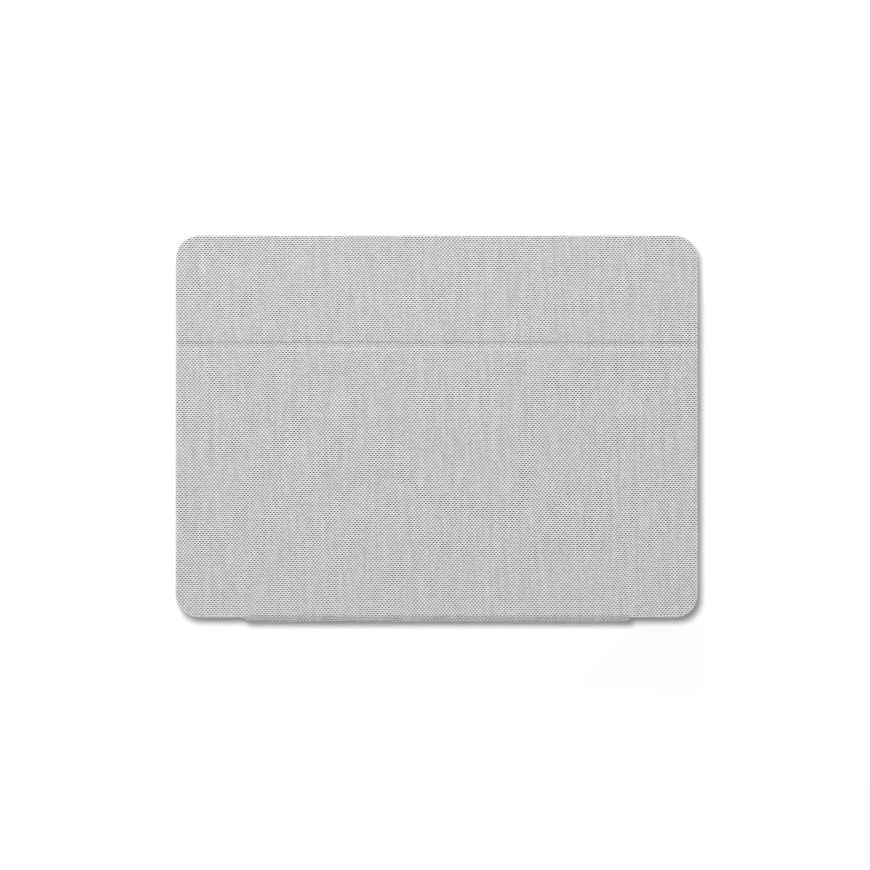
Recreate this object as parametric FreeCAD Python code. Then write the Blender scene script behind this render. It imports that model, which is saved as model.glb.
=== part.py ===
import FreeCAD, Part
import os

os.makedirs("parts", exist_ok=True)

# Sizes in millimetres. X runs across the case, Y towards the spine, Z up, with the case closed.

# The tablet that the case is made for, and the tray that holds it
tablet_width = 240.0
tablet_depth = 169.5
tablet_thickness = 7.5
tablet_slack = 0.6
tablet_headroom = 0.2
frame_wall = 1.8
frame_lip = 1.4
lip_overhang = 1.2
frame_inset = 2.9
frame_rear_room = 5.0
frame_edge_round = 0.6
plate_thickness = 1.2
lining = 0.3
cover_gap = 0.6

# Buttons and openings in the tray's walls
button_gap = 0.3
button_proud = 0.5
button_rise = 1.2
power_from_front = 18.0
power_length = 10.0
power_flange_overlap = 0.7
power_flange_room = 0.3
power_flange_depth = 0.8
power_play = 0.1
rocker_from_side = 25.3
rocker_length = 20.0
rocker_gap = 0.4
rocker_pivot_radius = 0.5
rocker_pivot_reach = 0.9
rocker_play = 0.05
pivot_end_play = 0.1
lead_slot_length = 14.0
lead_slot_height = 5.0
speaker_slot_length = 26.0
speaker_slot_height = 3.0
speaker_spread = 45.0
jack_radius = 3.5
jack_from_rear = 16.0

# The cloth cover and the spine
corner_radius = 11.2
crease_from_front = 52.4
cloth = 0.6
panel_edge_round = 0.45
kick_clearance = 0.3
kick_lining_thickness = 0.4
kick_board_thickness = 1.3
spine_length = 184.0
spine_reach = 1.6
spine_bend = 3.0
spine_board_thickness = 1.3
spine_board_inset = 1.0
spine_board_gap = 0.2
spine_lining_thickness = 0.4
spine_tuck = 12.0
keeper_radius = 4.5
keeper_thickness = 0.5
kick_magnet_thickness = 0.9
keeper_from_side = 15.1
keeper_from_rear = 20.0

# The crease and the hinges under it
crease_half_gap = 2.4
crease_depth = 0.35
crease_flat = 0.95
hinge_length = 40.0
hinge_reach = 15.0
hinge_from_side = 42.1
hinge_gap = 0.25
barrel_radius = 0.7
pin_radius = 0.35
leaf_thickness = 0.5
running_clearance = 0.05
rivet_reach = 10.0
rivet_spread = 13.0
rivet_radius = 0.8

# The keyboard base
base_inset = 0.5
floor_thickness = 1.0
base_wall = 1.6
base_inner_height = 3.0
deck_thickness = 1.2
base_cloth_round = 0.4
deck_edge_round = 0.5

# Keys
key_rows_pitch = 17.0
function_pitch = 11.0
key_side_margin = 6.0
key_rear_margin = 9.3
key_gap = 2.6
key_hole_gap = 0.3
arrow_gap = 1.6
key_rise = 1.2
cap_height = 2.9
cap_wall = 0.9
cap_corner = 1.4
cap_edge = 0.3
ear_overlap = 0.4
ear_root = 0.2
ear_width = 2.4
ear_thickness = 0.4
dome_foot_radius = 2.1
dome_head_radius = 1.2
long_key_units = 4

# Plates and electronics inside the base
support_thickness = 0.4
support_corner = 2.0
plate_inset = 0.5
membrane_thickness = 0.2
circuit_thickness = 0.8
circuit_corner = 0.8
circuit_side_room = 8.0
pocket_gap = 6.0
pocket_rear_gap = 2.0
cell_height = 2.6
cell_corner = 2.0
cell_edge = 0.8
ribbon_thickness = 0.15
ribbon_width = 14.0
ribbon_offset = 9.25
ribbon_overlap = 5.0
ribbon_lead = 1.0
ribbon_landing = 6.0
radio_chip = (8.0, 8.0, 0.9)
power_chip = (5.0, 5.0, 0.8)
plug_chip = (6.0, 16.0, 1.1)
radio_chip_x = 18.0
power_chip_x = 32.5
power_chip_y = 10.5
plug_chip_x = 6.0
plug_chip_y = 14.0
port_width = 8.8
port_wall = 0.3
port_back = 1.5
port_lift = 0.05
port_side_room = 0.05
port_height_room = 0.04
tongue_width = 6.6
tongue_thickness = 0.7
tongue_recess = 1.2
lamp_radius = 0.8
lamp_side_gap = 6.0
lamp_front_gap = 6.0

# Trackpad, power switch, screws, magnets and bumpers
pad_half = 50.0
pad_rear_gap = 8.0
pad_front_margin = 7.8
pad_corner = 2.0
pad_edge = 0.2
pad_gap = 0.3
pad_drop = 0.1
pad_flange = 1.5
pad_flange_thickness = 0.6
pad_switch_size = 8.0
pad_switch_height = 1.4
pad_switch_from_front = 12.0
pad_plunger_radius = 1.8
pad_plunger_play = 0.35
switch_from_front = 12.0
switch_travel = 2.0
switch_length = 4.0
switch_side_gap = 0.15
switch_height_gap = 0.1
switch_height = 1.2
switch_lift = 1.0
slider_length = 8.0
slider_thickness = 1.0
slider_overlap = 0.3
slider_play = 0.2
screw_head_radius = 1.4
screw_head_height = 0.5
screw_radius = 0.7
screw_head_room = 0.05
screw_room = 0.1
screw_end_room = 0.1
screw_cover = 0.7
boss_radius = 1.7
boss_root = 0.2
corner_screw_from_side = 12.5
rear_screw_gap = 5.1
front_screw_gap = 4.8
middle_screw_gap = 3.6
side_screw_gap = 2.0
side_screw_from_rear = 45.0
side_screw_from_keys = 3.0
magnet_length = 10.0
magnet_depth = 4.2
magnet_thickness = 1.2
magnet_front_gap = 3.2
magnet_from_side = (25.5, 49.5)
bumper_length = 14.0
bumper_width = 1.8
bumper_height = 0.5
bumper_inset = 1.4
bumper_front_inset = 1.5
bumper_from_side = 62.1
bumper_from_front = 29.4
bumper_from_rear = 24.3

# How far a cutting shape stands past what it cuts, and how deep two forms of one piece are joined
cut_past = 1.0
join_depth = 0.1

# Levels, worked out from the table upwards
floor_bottom = cloth
floor_top = floor_bottom + floor_thickness
deck_bottom = floor_top + base_inner_height
deck_top = deck_bottom + deck_thickness
cap_top = deck_top + key_rise
cap_bottom = cap_top - cap_height
frame_bottom = deck_top + cover_gap
bay_bottom = frame_bottom + frame_lip
button_level = bay_bottom + tablet_headroom + tablet_thickness / 2
lining_bottom = bay_bottom + tablet_thickness + tablet_headroom
plate_bottom = lining_bottom + lining
plate_top = plate_bottom + plate_thickness
kick_bottom = plate_top + kick_clearance
kick_board_bottom = kick_bottom + kick_lining_thickness
board_top = kick_board_bottom + kick_board_thickness
cover_top = board_top + cloth
support_top = floor_top + support_thickness
membrane_top = support_top + membrane_thickness
circuit_top = floor_top + circuit_thickness
crease_z = plate_top + hinge_gap + barrel_radius

# Plan sizes: the cover follows the tablet, its frame and the room behind the frame
bay_half = (tablet_width + tablet_slack) / 2
frame_half = bay_half + frame_wall
half_width = frame_half + frame_inset
case_width = 2 * half_width
frame_depth = tablet_depth + tablet_slack + 2 * frame_wall
half_depth = (frame_inset + frame_depth + frame_rear_room + spine_bend) / 2
panel_front = -half_depth
panel_rear = half_depth - spine_reach
spine_outer = half_depth
base_rear = spine_outer - spine_bend
base_front = panel_front + base_inset
base_half = half_width - base_inset
base_radius = corner_radius - base_inset
crease_y = panel_front + crease_from_front
spine_half = spine_length / 2

frame_front = panel_front + frame_inset
frame_rear = frame_front + frame_depth
bay_front = frame_front + frame_wall
bay_rear = frame_rear - frame_wall
bay_middle = (bay_front + bay_rear) / 2
frame_radius = corner_radius - frame_inset
bay_radius = frame_radius - frame_wall

keys_rear = base_rear - key_rear_margin
keys_front = keys_rear - function_pitch - 5 * key_rows_pitch
key_unit = (case_width - 2 * key_side_margin) / 14
keys_left = -7 * key_unit
pad_rear = keys_front - pad_rear_gap
pad_front = base_front + pad_front_margin


def box(x0, x1, y0, y1, z0, z1):
    """Upright block between two corners."""
    return Part.makeBox(x1 - x0, y1 - y0, z1 - z0, FreeCAD.Vector(x0, y0, z0))


def block(x, y, length, depth, z0, z1):
    """Upright block about a middle in plan."""
    return box(x - length / 2, x + length / 2, y - depth / 2, y + depth / 2, z0, z1)


def rounded(x0, x1, y0, y1, z0, z1, radius):
    """Upright plate with its four corners rounded in plan."""
    plain = box(x0, x1, y0, y1, z0, z1)
    upright = [e for e in plain.Edges if e.BoundBox.ZLength > 0.5 * (z1 - z0)]
    return plain.makeFillet(radius, upright)


def soften(shape, level, radius):
    """Rounds every edge that lies flat at one level."""
    rim = []
    for edge in shape.Edges:
        low, high = edge.BoundBox.ZMin, edge.BoundBox.ZMax
        if abs(low - level) < 0.001 and abs(high - level) < 0.001:
            rim.append(edge)
    return shape.makeFillet(radius, rim)


def upright_rod(x, y, z0, z1, radius):
    """Upright round bar."""
    return Part.makeCylinder(radius, z1 - z0, FreeCAD.Vector(x, y, z0))


def cross_rod(x0, x1, y, z, radius):
    """Round bar along X."""
    return Part.makeCylinder(radius, x1 - x0, FreeCAD.Vector(x0, y, z), FreeCAD.Vector(1, 0, 0))


def cross_prism(x0, x1, points):
    """Outline of (y, z) points drawn out along X."""
    corners = [FreeCAD.Vector(x0, y, z) for y, z in points]
    face = Part.Face(Part.makePolygon(corners + corners[:1]))
    return face.extrude(FreeCAD.Vector(x1 - x0, 0, 0))


def bend(x0, x1, y, z, radius, thickness, upper):
    """Quarter of a cloth tube about (y, z), on the spine side, above or below its middle."""
    tube = cross_rod(x0, x1, y, z, radius).cut(cross_rod(x0, x1, y, z, radius - thickness))
    z0, z1 = (z, z + radius) if upper else (z - radius, z)
    return tube.common(box(x0, x1, y, y + radius, z0, z1))


def panel(z0, z1, inset):
    """Outline of the back cover between two levels, drawn in by an inset."""
    return rounded(-half_width + inset, half_width - inset, panel_front + inset, panel_rear - inset,
                   z0, z1, corner_radius - inset)


def base_outline(z0, z1, inset):
    """Outline of the keyboard base between two levels, drawn in by an inset."""
    return rounded(-base_half + inset, base_half - inset, base_front + inset, base_rear - inset,
                   z0, z1, base_radius - inset)


def ahead_of(y):
    """Space on the front side of a plane across the case."""
    return box(-case_width, case_width, -case_width, y, -cover_top, 2 * cover_top)


def behind(y):
    """Space on the spine side of a plane across the case."""
    return box(-case_width, case_width, y, case_width, -cover_top, 2 * cover_top)


def save(name, shape):
    """Writes one named piece, or one named group of like pieces."""
    solids = shape if isinstance(shape, list) else [shape]
    kept = Part.makeCompound(solids) if len(solids) > 1 else solids[0]
    kept.exportStep("parts/" + name + ".step")


# Key layout: each entry is a name, or None for a key of the row's own group, with its width in units
row_plans = [
    ("function_row", [(None, 1)] * 14),
    ("number_row", [(None, 1)] * 13 + [("backspace_key", 1)]),
    ("top_letter_row", [("tab_key", 1.5)] + [(None, 1)] * 11 + [("bracket_key", 1.5)]),
    ("home_row", [("caps_key", 1.75)] + [(None, 1)] * 10 + [("enter_key", 2.25)]),
    ("bottom_letter_row", [("left_shift_key", 2.25)] + [(None, 1)] * 10 + [("right_shift_key", 1.75)]),
    ("modifier_keys", [(None, 1)] * 3 + [("left_alt_key", 1.25), ("space_bar", 5.5),
                                         ("right_alt_key", 1.25), ("left_arrow_key", 1),
                                         ("up_down", 1), ("right_arrow_key", 1)]),
]

key_places = []
row_rear = keys_rear
for row_name, plan in row_plans:
    row_depth = function_pitch if row_name == "function_row" else key_rows_pitch
    cap_rear = row_rear - key_gap / 2
    cap_front = row_rear - row_depth + key_gap / 2
    left = keys_left
    for key_name, units in plan:
        x0 = left + key_gap / 2
        x1 = left + units * key_unit - key_gap / 2
        if key_name == "up_down":
            split = (cap_rear + cap_front) / 2
            key_places.append(("up_arrow_key", x0, x1, split + arrow_gap / 2, cap_rear))
            key_places.append(("down_arrow_key", x0, x1, cap_front, split - arrow_gap / 2))
        else:
            key_places.append((key_name or row_name, x0, x1, cap_front, cap_rear))
        left += units * key_unit
    row_rear -= row_depth


def key_cap(x0, x1, y0, y1):
    """Hollow cap with two ears that stay under the deck."""
    cap = soften(rounded(x0, x1, y0, y1, cap_bottom, cap_top, cap_corner), cap_top, cap_edge)
    hollow = box(x0 + cap_wall, x1 - cap_wall, y0 + cap_wall, y1 - cap_wall, cap_bottom, cap_top - cap_wall)
    ear_front = (y0 + y1 - ear_width) / 2
    ear_rear = ear_front + ear_width
    ear_top = cap_bottom + ear_thickness
    ear_reach = key_hole_gap + ear_overlap
    left_ear = box(x0 - ear_reach, x0 + ear_root, ear_front, ear_rear, cap_bottom, ear_top)
    right_ear = box(x1 - ear_root, x1 + ear_reach, ear_front, ear_rear, cap_bottom, ear_top)
    return cap.cut(hollow).fuse([left_ear, right_ear])


def dome_places(x0, x1, y0, y1):
    """One dome under a key, or three under a long one."""
    middle_x, middle_y = (x0 + x1) / 2, (y0 + y1) / 2
    if x1 - x0 > long_key_units * key_unit:
        spread = (x1 - x0) / 3
        return [(middle_x - spread, middle_y), (middle_x, middle_y), (middle_x + spread, middle_y)]
    return [(middle_x, middle_y)]


caps = {}
key_holes = []
domes = []
for name, x0, x1, y0, y1 in key_places:
    caps.setdefault(name, []).append(key_cap(x0, x1, y0, y1))
    key_holes.append(rounded(x0 - key_hole_gap, x1 + key_hole_gap, y0 - key_hole_gap, y1 + key_hole_gap,
                             deck_bottom - cut_past, deck_top + cut_past, cap_corner + key_hole_gap))
    for dome_x, dome_y in dome_places(x0, x1, y0, y1):
        domes.append(Part.makeCone(dome_foot_radius, dome_head_radius, cap_top - cap_wall - membrane_top,
                                   FreeCAD.Vector(dome_x, dome_y, membrane_top)))
for name, shapes in caps.items():
    save(name, shapes)
save("rubber_domes", domes)

# Keyboard base: screw, port, switch and lamp places
screw_places = []
for x in (corner_screw_from_side - base_half, 0, base_half - corner_screw_from_side):
    screw_places.append((x, base_rear - rear_screw_gap))
    screw_places.append((x, base_front + (front_screw_gap if x else middle_screw_gap)))
for side in (-1, 1):
    for y in (keys_rear - side_screw_from_rear, keys_front - side_screw_from_keys):
        screw_places.append((side * (base_half - base_wall - side_screw_gap), y))
wall_inside = base_half - base_wall
port_y = (pad_front + pad_rear) / 2
port_bottom = floor_top + port_lift
port_top = deck_bottom - port_lift
port_middle = (port_bottom + port_top) / 2
switch_y = pad_front + switch_from_front
switch_low = floor_top + switch_lift
switch_high = switch_low + switch_height
circuit_left = pad_half + pocket_gap
circuit_right = base_half - circuit_side_room
pocket_rear = pad_rear - pocket_rear_gap
lamp_x = circuit_right - lamp_side_gap
lamp_y = pad_rear - lamp_front_gap

save("base_cloth", soften(base_outline(0, floor_bottom, 0), 0, base_cloth_round))

tub = base_outline(floor_bottom, deck_bottom, 0).cut(base_outline(floor_top, deck_bottom, base_wall))
tub_holes = []
for x, y in screw_places:
    tub_holes.append(upright_rod(x, y, floor_bottom, floor_bottom + screw_head_height,
                                 screw_head_radius + screw_head_room))
    tub_holes.append(upright_rod(x, y, floor_bottom, floor_top, screw_radius + screw_room))
port_hole_half = port_width / 2 + port_side_room
tub_holes.append(box(wall_inside - cut_past, base_half + cut_past,
                     port_y - port_hole_half, port_y + port_hole_half,
                     port_bottom - port_height_room, port_top + port_height_room))
switch_hole_half = switch_length / 2 + switch_side_gap
tub_holes.append(box(wall_inside - cut_past, base_half + cut_past,
                     switch_y - switch_hole_half, switch_y + switch_hole_half + switch_travel,
                     switch_low - switch_height_gap, switch_high + switch_height_gap))
save("bottom_shell", tub.cut(tub_holes))

screw_top = deck_bottom - screw_cover - screw_end_room
deck = soften(base_outline(deck_bottom, deck_top, 0), deck_top, deck_edge_round)
bosses = [upright_rod(x, y, floor_top, deck_bottom + boss_root, boss_radius) for x, y in screw_places]
deck = deck.fuse(bosses)
deck_holes = [upright_rod(x, y, floor_top, deck_bottom - screw_cover, screw_radius) for x, y in screw_places]
deck_holes += key_holes
deck_holes.append(rounded(-pad_half - pad_gap, pad_half + pad_gap, pad_front - pad_gap, pad_rear + pad_gap,
                          deck_bottom - cut_past, deck_top + cut_past, pad_corner + pad_gap))
deck_holes.append(upright_rod(lamp_x, lamp_y, deck_bottom - cut_past, deck_top + cut_past, lamp_radius))
save("key_deck", deck.cut(deck_holes).removeSplitter())

screws = []
for x, y in screw_places:
    head = upright_rod(x, y, floor_bottom, floor_bottom + screw_head_height, screw_head_radius)
    screws.append(head.fuse(upright_rod(x, y, floor_bottom + screw_head_height, screw_top, screw_radius)))
save("base_screws", screws)

plate_edge = -keys_left - plate_inset
save("support_plate", rounded(-plate_edge, plate_edge, keys_front - plate_inset, keys_rear + plate_inset,
                              floor_top, support_top, support_corner))
membrane_edge = plate_edge - plate_inset
save("membrane_sheet", rounded(-membrane_edge, membrane_edge, keys_front, keys_rear,
                               support_top, membrane_top, support_corner))

cell = rounded(-circuit_right, -circuit_left, pad_front, pocket_rear,
               floor_top, floor_top + cell_height, cell_corner)
save("battery_cell", soften(cell, floor_top + cell_height, cell_edge))

circuit = rounded(circuit_left, circuit_right, pad_front, pocket_rear, floor_top, circuit_top, circuit_corner)
chip_low = circuit_top - join_depth
chips = []
for chip, x, y in ((radio_chip, circuit_left + radio_chip_x, port_y),
                   (power_chip, circuit_left + power_chip_x, port_y + power_chip_y),
                   (plug_chip, circuit_left + plug_chip_x, pad_front + plug_chip_y)):
    length, depth, height = chip
    chips.append(block(x, y, length, depth, chip_low, circuit_top + height))
save("main_board", circuit.fuse(chips))

ribbon_left = (circuit_left + circuit_right - ribbon_width) / 2 - ribbon_offset
ribbon_line = [(keys_front + ribbon_overlap, membrane_top), (keys_front - ribbon_lead, membrane_top),
               (pocket_rear + ribbon_lead, circuit_top), (pocket_rear - ribbon_landing, circuit_top)]
ribbon_back = [(y, z + ribbon_thickness) for y, z in reversed(ribbon_line)]
save("flex_ribbon", cross_prism(ribbon_left, ribbon_left + ribbon_width, ribbon_line + ribbon_back))

port_half = port_width / 2
port = box(circuit_right, base_half, port_y - port_half, port_y + port_half, port_bottom, port_top)
port = port.cut(box(circuit_right + port_back, base_half + cut_past,
                    port_y - port_half + port_wall, port_y + port_half - port_wall,
                    port_bottom + port_wall, port_top - port_wall))
tongue = box(circuit_right + port_back - join_depth, base_half - tongue_recess,
             port_y - tongue_width / 2, port_y + tongue_width / 2,
             port_middle - tongue_thickness / 2, port_middle + tongue_thickness / 2)
save("usb_port", port.fuse(tongue))

slider_face = wall_inside - slider_play
slider = box(slider_face - slider_thickness, slider_face,
             switch_y - slider_length / 2, switch_y + slider_length / 2,
             switch_low - slider_overlap, switch_high + slider_overlap)
thumb = box(slider_face - join_depth, half_width, switch_y - switch_length / 2, switch_y + switch_length / 2,
            switch_low, switch_high)
save("power_switch", slider.fuse(thumb))

save("status_light", upright_rod(lamp_x, lamp_y, circuit_top, deck_top, lamp_radius))

pad_top = deck_top - pad_drop
pad_low = deck_bottom - pad_drop
pad = rounded(-pad_half, pad_half, pad_front, pad_rear, pad_low, pad_top, pad_corner)
pad = soften(pad, pad_top, pad_edge)
flange_low = pad_low - pad_flange_thickness
flange = rounded(-pad_half - pad_flange, pad_half + pad_flange, pad_front - pad_flange, pad_rear + pad_flange,
                 flange_low, pad_low, pad_corner + pad_flange)
save("trackpad", pad.fuse(flange))
pad_switch_y = pad_front + pad_switch_from_front
pad_switch_top = floor_top + pad_switch_height
pad_switch = block(0, pad_switch_y, pad_switch_size, pad_switch_size, floor_top, pad_switch_top)
plunger = upright_rod(0, pad_switch_y, pad_switch_top - join_depth, flange_low - pad_plunger_play,
                      pad_plunger_radius)
save("trackpad_switch", pad_switch.fuse(plunger))

magnets = []
magnet_y = base_front + magnet_front_gap + magnet_depth / 2
for side in (-1, 1):
    for set_in in magnet_from_side:
        magnets.append(block(side * (base_half - set_in), magnet_y, magnet_length, magnet_depth,
                             deck_bottom - magnet_thickness, deck_bottom))
save("base_magnets", magnets)

bumper_top = deck_top + bumper_height
bumpers = []
for side in (-1, 1):
    for y in (frame_front + bumper_from_front, frame_rear - bumper_from_rear):
        bumpers.append(block(side * (frame_half - bumper_inset), y, bumper_width, bumper_length,
                             deck_top, bumper_top))
    for y in (frame_front + bumper_front_inset, frame_rear - bumper_inset):
        bumpers.append(block(side * (frame_half - bumper_from_side), y, bumper_length, bumper_width,
                             deck_top, bumper_top))
save("screen_bumpers", bumpers)

# Spine and its two cloth folds
fold_upper_z = plate_top - spine_bend
spine_low = spine_bend
spine_face = spine_outer - cloth
board_face = spine_face - spine_board_thickness
board_half = spine_half - spine_board_inset
board_low = spine_low + spine_board_gap
board_high = fold_upper_z - spine_board_gap
save("spine_cloth", box(-spine_half, spine_half, spine_face, spine_outer, spine_low, fold_upper_z))
save("spine_board", box(-board_half, board_half, board_face, spine_face, board_low, board_high))
save("spine_lining", box(-board_half, board_half, board_face - spine_lining_thickness, board_face,
                         board_low, board_high))
save("lower_fold_cloth", bend(-spine_half, spine_half, base_rear, spine_low, spine_bend, cloth, False))
tuck = box(-spine_half, spine_half, base_rear - spine_tuck, base_rear, plate_top - cloth, plate_top)
upper_bend = bend(-spine_half, spine_half, base_rear, fold_upper_z, spine_bend, cloth, True)
save("upper_fold_cloth", tuck.fuse(upper_bend).removeSplitter())

# Tablet holder: tray plate, soft frame and its two buttons
keeper_places = []
for side in (-1, 1):
    keeper_places.append((side * (frame_half - keeper_from_side), base_rear - keeper_from_rear))
plate = rounded(-frame_half, frame_half, frame_front, base_rear, plate_bottom, plate_top, frame_radius)
keeper_low = plate_top - keeper_thickness
keepers = [upright_rod(x, y, keeper_low, plate_top, keeper_radius) for x, y in keeper_places]
save("tray_plate", plate.cut([tuck] + keepers))
save("tray_keepers", keepers)
save("tray_lining", rounded(-bay_half, bay_half, bay_front, bay_rear,
                            lining_bottom, plate_bottom, bay_radius))

frame = rounded(-frame_half, frame_half, frame_front, frame_rear, frame_bottom, plate_bottom, frame_radius)
frame = soften(frame, frame_bottom, frame_edge_round)
bay = rounded(-bay_half, bay_half, bay_front, bay_rear, bay_bottom, plate_bottom, bay_radius)
mouth = rounded(-bay_half + lip_overhang, bay_half - lip_overhang,
                bay_front + lip_overhang, bay_rear - lip_overhang,
                frame_bottom - cut_past, bay_bottom + cut_past, bay_radius - lip_overhang)

hole_rise = button_rise + button_gap
flange_rise = button_rise + power_flange_overlap
recess_rise = flange_rise + power_flange_room
power_y = bay_front + power_from_front
power_step = -bay_half - power_flange_depth - power_play
power_half = power_length / 2
power_hole = box(-frame_half - cut_past, -bay_half + cut_past,
                 power_y - power_half - button_gap, power_y + power_half + button_gap,
                 button_level - hole_rise, button_level + hole_rise)
recess_half = power_half + power_flange_overlap + power_flange_room
power_recess = box(power_step, -bay_half + cut_past, power_y - recess_half, power_y + recess_half,
                   button_level - recess_rise, button_level + recess_rise)
power_cap = box(-frame_half - button_proud, power_step + power_play + join_depth,
                power_y - power_half, power_y + power_half,
                button_level - button_rise, button_level + button_rise)
flange_half = power_half + power_flange_overlap
power_flange = box(power_step + power_play, -bay_half - power_play,
                   power_y - flange_half, power_y + flange_half,
                   button_level - flange_rise, button_level + flange_rise)
save("power_button", power_cap.fuse(power_flange))

rocker_x = rocker_from_side - bay_half
rocker_y = frame_front + frame_wall / 2
rocker_half = rocker_length / 2
rocker_hole = box(rocker_x - rocker_half - rocker_gap, rocker_x + rocker_half + rocker_gap,
                  frame_front - cut_past, bay_front + cut_past,
                  button_level - hole_rise, button_level + hole_rise)
pivot_rise = button_rise + rocker_pivot_reach
socket_rise = pivot_rise + pivot_end_play
rocker_socket = upright_rod(rocker_x, rocker_y, button_level - socket_rise, button_level + socket_rise,
                            rocker_pivot_radius + rocker_play)
rocker_bar = box(rocker_x - rocker_half, rocker_x + rocker_half,
                 frame_front - button_proud, bay_front - button_gap,
                 button_level - button_rise, button_level + button_rise)
rocker_pivot = upright_rod(rocker_x, rocker_y, button_level - pivot_rise, button_level + pivot_rise,
                           rocker_pivot_radius)
save("volume_rocker", rocker_bar.fuse(rocker_pivot))

frame_cuts = [bay, mouth, power_hole, power_recess, rocker_hole, rocker_socket]
side_slots = ((bay_middle, lead_slot_length, lead_slot_height),
              (bay_middle - speaker_spread, speaker_slot_length, speaker_slot_height),
              (bay_middle + speaker_spread, speaker_slot_length, speaker_slot_height))
for slot_y, slot_length, slot_height in side_slots:
    frame_cuts.append(box(bay_half - cut_past, frame_half + cut_past,
                          slot_y - slot_length / 2, slot_y + slot_length / 2,
                          button_level - slot_height / 2, button_level + slot_height / 2))
frame_cuts.append(cross_rod(-frame_half - cut_past, -bay_half + cut_past, bay_rear - jack_from_rear,
                            button_level, jack_radius))
save("tray_frame", frame.cut(frame_cuts))

# Crease hinge: three leaves each side, turning on plain pins
hinge_middles = (hinge_from_side - frame_half, 0.0, frame_half - hinge_from_side)
knuckle_length = hinge_length / 5
leaf_low = crease_z - leaf_thickness / 2
leaf_high = crease_z + leaf_thickness / 2
leaf_start = barrel_radius + hinge_gap
rivet_offsets = (-rivet_spread, 0.0, rivet_spread)


def span(side, near, far):
    """Front and rear limits of something that stands off the crease, on one side of it."""
    edges = (crease_y + side * near, crease_y + side * far)
    return min(edges), max(edges)


def leaf(middle, side, knuckles, bore):
    """One hinge leaf with its knuckles, bored for the pin, with rivet holes."""
    y0, y1 = span(side, leaf_start, hinge_reach)
    shape = box(middle - hinge_length / 2, middle + hinge_length / 2, y0, y1, leaf_low, leaf_high)
    parts = []
    for number in knuckles:
        x0 = middle - hinge_length / 2 + number * knuckle_length + running_clearance
        x1 = x0 + knuckle_length - 2 * running_clearance
        web0, web1 = span(side, 0, leaf_start + join_depth)
        parts.append(cross_rod(x0, x1, crease_y, crease_z, barrel_radius))
        parts.append(box(x0, x1, web0, web1, leaf_low, leaf_high))
    cuts = [cross_rod(middle - hinge_length, middle + hinge_length, crease_y, crease_z, bore)]
    rivet_y = crease_y + side * rivet_reach
    for offset in rivet_offsets:
        cuts.append(upright_rod(middle + offset, rivet_y, leaf_low - cut_past, leaf_high + cut_past,
                                rivet_radius))
    return shape.fuse(parts).cut(cuts)


def rivets(side, low):
    """All the rivets on one side of the crease."""
    shapes = []
    rivet_y = crease_y + side * rivet_reach
    for middle in hinge_middles:
        for offset in rivet_offsets:
            shapes.append(upright_rod(middle + offset, rivet_y, low, board_top, rivet_radius))
    return shapes


def leaf_slots(side):
    """Room in a board for the three leaves of one side."""
    y0, y1 = span(side, 0, hinge_reach)
    slots = []
    for middle in hinge_middles:
        slots.append(box(middle - hinge_length / 2, middle + hinge_length / 2, y0, y1, leaf_low, leaf_high))
    return slots


fixed_leaves = []
moving_leaves = []
pins = []
for middle in hinge_middles:
    fixed_leaves.append(leaf(middle, -1, (0, 2, 4), pin_radius))
    moving_leaves.append(leaf(middle, 1, (1, 3), pin_radius + running_clearance))
    pins.append(cross_rod(middle - hinge_length / 2, middle + hinge_length / 2,
                          crease_y, crease_z, pin_radius))
save("hinge_fixed_leaves", fixed_leaves)
save("hinge_moving_leaves", moving_leaves)
save("hinge_pins", pins)
fixed_rivets = rivets(-1, plate_top)
moving_rivets = rivets(1, kick_board_bottom)
save("fixed_leaf_rivets", fixed_rivets)
save("moving_leaf_rivets", moving_rivets)

# Back cover: the fixed top panel, the kickstand and the cloth crease between them
front_side = ahead_of(crease_y - crease_half_gap)
rear_side = behind(crease_y + crease_half_gap)
top_board = panel(plate_top, board_top, cloth).common(front_side)
top_skin = soften(panel(plate_top, cover_top, 0), cover_top, panel_edge_round).common(front_side)
save("top_panel_cloth", top_skin.cut(top_board))
save("top_board", top_board.cut(leaf_slots(-1) + fixed_rivets))

magnet_top = kick_board_bottom + kick_magnet_thickness
kick_magnets = [upright_rod(x, y, kick_board_bottom, magnet_top, keeper_radius) for x, y in keeper_places]
kick_core = panel(kick_bottom, board_top, cloth).common(rear_side)
kick_skin = soften(panel(kick_bottom, cover_top, 0), cover_top, panel_edge_round).common(rear_side)
save("kick_cloth", kick_skin.cut(kick_core))
kick_board = panel(kick_board_bottom, board_top, cloth).common(rear_side)
save("kick_board", kick_board.cut(leaf_slots(1) + moving_rivets + kick_magnets))
save("kick_lining", panel(kick_bottom, kick_board_bottom, cloth).common(rear_side))
save("kick_magnets", kick_magnets)

groove = [(-crease_half_gap, 0), (-crease_flat, -crease_depth),
          (crease_flat, -crease_depth), (crease_half_gap, 0)]
groove_outer = [(crease_y + y, cover_top + z) for y, z in groove]
groove_inner = [(crease_y + y, cover_top - cloth + z) for y, z in reversed(groove)]
crease_half = half_width - panel_edge_round
save("crease_cloth", cross_prism(-crease_half, crease_half, groove_outer + groove_inner))
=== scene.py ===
import logging
import math
from dataclasses import dataclass
from enum import Enum
from typing import Optional, Sequence, Union

import bmesh
import bpy
from mathutils import Matrix, Vector


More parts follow.
